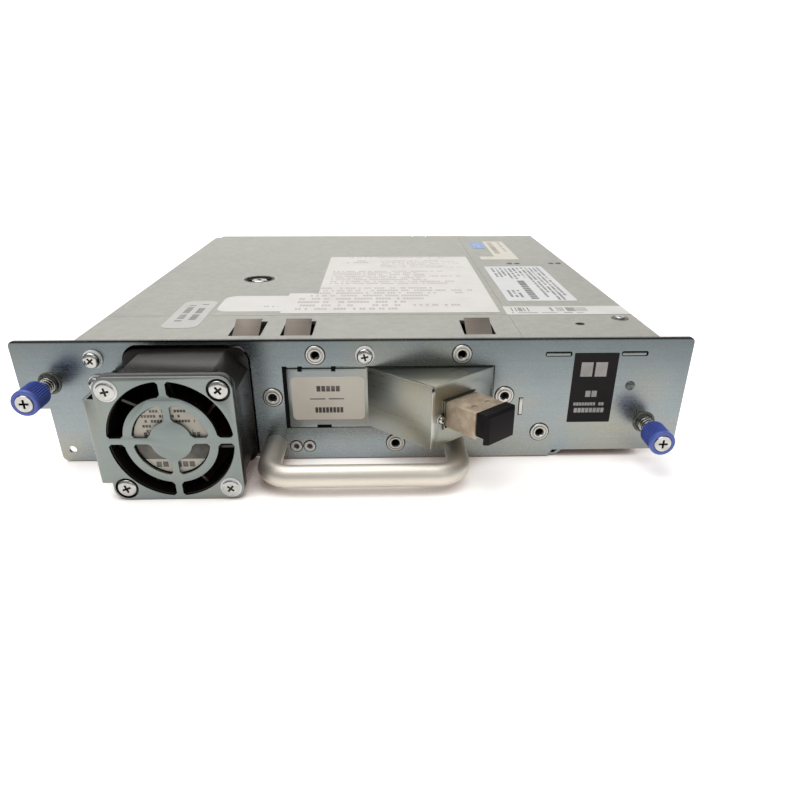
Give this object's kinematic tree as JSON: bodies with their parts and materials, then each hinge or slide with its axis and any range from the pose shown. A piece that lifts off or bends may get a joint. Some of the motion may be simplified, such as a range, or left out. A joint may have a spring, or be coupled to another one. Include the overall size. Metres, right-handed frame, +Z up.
{
  "type": "library tape drive",
  "caption": "Half-height cartridge tape drive in a folded sheet sled with cooling fan, angled fibre port, pull handle and captive thumbscrews.",
  "frame": {"origin": "middle of the footprint, on the surface that the drive stands on", "axes": "+Z up, connector panel with fan and handle faces -Y, cartridge mouth faces +Y, +X to the right seen from the connector panel"},
  "size_m": [0.2204, 0.2402, 0.0452],
  "materials": {
    "zinc_panel": "zinc plated, bluish",
    "zinc_steel": "zinc plated",
    "galvanised_cover": "galvanised, matt",
    "clip_steel": "spring steel",
    "clear_lens": "clear",
    "fan_black": "glass-filled, matt",
    "blade_black": "semi-matt",
    "board_green": "solder mask",
    "nickel_shell": "nickel, warm",
    "plug_rubber": "matt",
    "satin_aluminium": "satin",
    "knob_blue": "semi-matt",
    "bright_steel": "bright",
    "spring_steel": "drawn wire",
    "cast_aluminium": "die cast, matt",
    "connector_black": "matt",
    "bezel_black": "fine grain",
    "smoked_window": "smoked",
    "button_grey": "matt",
    "motor_steel": "plain",
    "hub_plastic": "matt"
  },
  "bodies": {
    "sled": {"bay_cover": "galvanised_cover", "connector_panel": "zinc_panel", "dock_connector": "connector_black", "drive_base": "cast_aluminium", "drive_bezel": "bezel_black", "drive_board": "board_green", "drive_cover": "galvanised_cover", "fan_housing": "fan_black", "fibre_board": "board_green", "finger_guard": "zinc_panel", "handle": "satin_aluminium", "interface_board": "board_green", "light_lens": "clear_lens", "port_bracket": "zinc_panel", "port_wall": "zinc_panel", "reel_motor": "motor_steel", "sled_tray": "zinc_steel", "spring_clips": "clip_steel", "status_window": "smoked_window", "top_strip": "galvanised_cover", "transceiver_cage": "zinc_steel"},
    "fan_rotor": {"fan_impeller": "blade_black"},
    "left_slide": {"left_spring": "spring_steel"},
    "left_thumbscrew": {"left_screw": "bright_steel", "left_knob": "knob_blue"},
    "right_slide": {"right_spring": "spring_steel"},
    "right_thumbscrew": {"right_screw": "bright_steel", "right_knob": "knob_blue"},
    "transceiver": {"transceiver": "nickel_shell"},
    "plug": {"dust_plug": "plug_rubber"},
    "door": {"cartridge_door": "bezel_black"},
    "button": {"eject_button": "button_grey"},
    "loader": {"loader_frame": "zinc_steel"},
    "carriage": {"cartridge_tray": "zinc_steel"},
    "clutch": {"drive_hub": "hub_plastic"}
  },
  "joints": [
    {"name": "fan_spin", "type": "hinge", "parent": "sled", "child": "fan_rotor", "pos_m": [-0.0549, -0.10845, 0.02015], "axis": [0, 1, 0], "continuous": true},
    {"name": "left_push", "type": "slide", "parent": "sled", "child": "left_slide", "axis": [0, 1, 0], "range_m": [0, 0.0045], "stiffness_N_per_m": 200, "springref_m": -0.003, "deforming": ["left_spring"]},
    {"name": "left_turn", "type": "hinge", "parent": "left_slide", "child": "left_thumbscrew", "pos_m": [-0.1001, -0.10445, 0.0287], "axis": [0, 1, 0], "continuous": true},
    {"name": "right_push", "type": "slide", "parent": "sled", "child": "right_slide", "axis": [0, 1, 0], "range_m": [0, 0.0045], "stiffness_N_per_m": 200, "springref_m": -0.003, "deforming": ["right_spring"]},
    {"name": "right_turn", "type": "hinge", "parent": "right_slide", "child": "right_thumbscrew", "pos_m": [0.0983, -0.10445, 0.013], "axis": [0, 1, 0], "continuous": true},
    {"name": "transceiver_slide", "type": "slide", "parent": "sled", "child": "transceiver", "axis": [0.6511, -0.759, 0], "range_m": [0, 0.036]},
    {"name": "plug_pull", "type": "slide", "parent": "transceiver", "child": "plug", "axis": [0.6511, -0.759, 0], "range_m": [0, 0.008]},
    {"name": "door_swing", "type": "hinge", "parent": "sled", "child": "door", "pos_m": [-0.0155, 0.11605, 0.0396], "axis": [-1, 0, 0], "range_deg": [0, 80], "stiffness_Nm_per_rad": 0.002, "springref_deg": -34.38},
    {"name": "eject_press", "type": "slide", "parent": "sled", "child": "button", "axis": [0, -1, 0], "range_m": [0, 0.0008], "stiffness_N_per_m": 300, "springref_m": -0.002},
    {"name": "loader_travel", "type": "slide", "parent": "sled", "child": "loader", "axis": [0, -1, 0], "range_m": [0, 0.016]},
    {"name": "carriage_sink", "type": "slide", "parent": "loader", "child": "carriage", "axis": [0, 0, -1], "range_m": [0, 0.004]},
    {"name": "clutch_spin", "type": "hinge", "parent": "sled", "child": "clutch", "pos_m": [-0.0155, 0.0546, 0.012], "axis": [0, 0, 1], "continuous": true}
  ],
  "couplings": [
    {"joint": "carriage_sink", "follows": "loader_travel", "ratio": 0.25}
  ]
}
